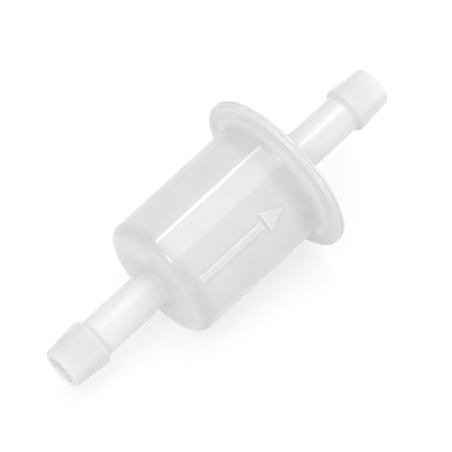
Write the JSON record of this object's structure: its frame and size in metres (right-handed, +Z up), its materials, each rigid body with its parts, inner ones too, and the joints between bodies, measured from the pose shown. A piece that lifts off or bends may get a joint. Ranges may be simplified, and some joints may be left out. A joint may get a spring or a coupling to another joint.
{
  "type": "inline fuel filter",
  "caption": "Small inline fuel filter: welded milky plastic housing with a flange and a barbed hose stub at each end, round a pleated paper element.",
  "frame": {"origin": "on the flow axis, halfway between the tips of the two hose stubs, which is the centre of the whole filter's box", "axes": "+X along the flow axis, from the inlet stub on the closed end of the cup to the outlet stub on the cover; +Z up; +Y completes the right-handed frame"},
  "size_m": [0.0836, 0.0346, 0.0346],
  "materials": {
    "housing_nylon": "milky translucent natural nylon, satin gloss",
    "weld_nylon": "melted natural nylon",
    "filter_paper": "pleated resin-treated filter paper",
    "element_plastic": "natural moulded plastic",
    "adhesive": "cured clear-amber adhesive",
    "seal_rubber": "black nitrile rubber"
  },
  "bodies": {
    "root": {"housing_cup": "housing_nylon", "housing_cover": "housing_nylon", "weld_ring": "weld_nylon", "filter_paper": "filter_paper", "core_tube": "element_plastic", "inlet_end_cap": "element_plastic", "outlet_end_cap": "element_plastic", "inlet_adhesive_bed": "adhesive", "outlet_adhesive_bed": "adhesive", "element_seal": "seal_rubber"}
  },
  "joints": []
}
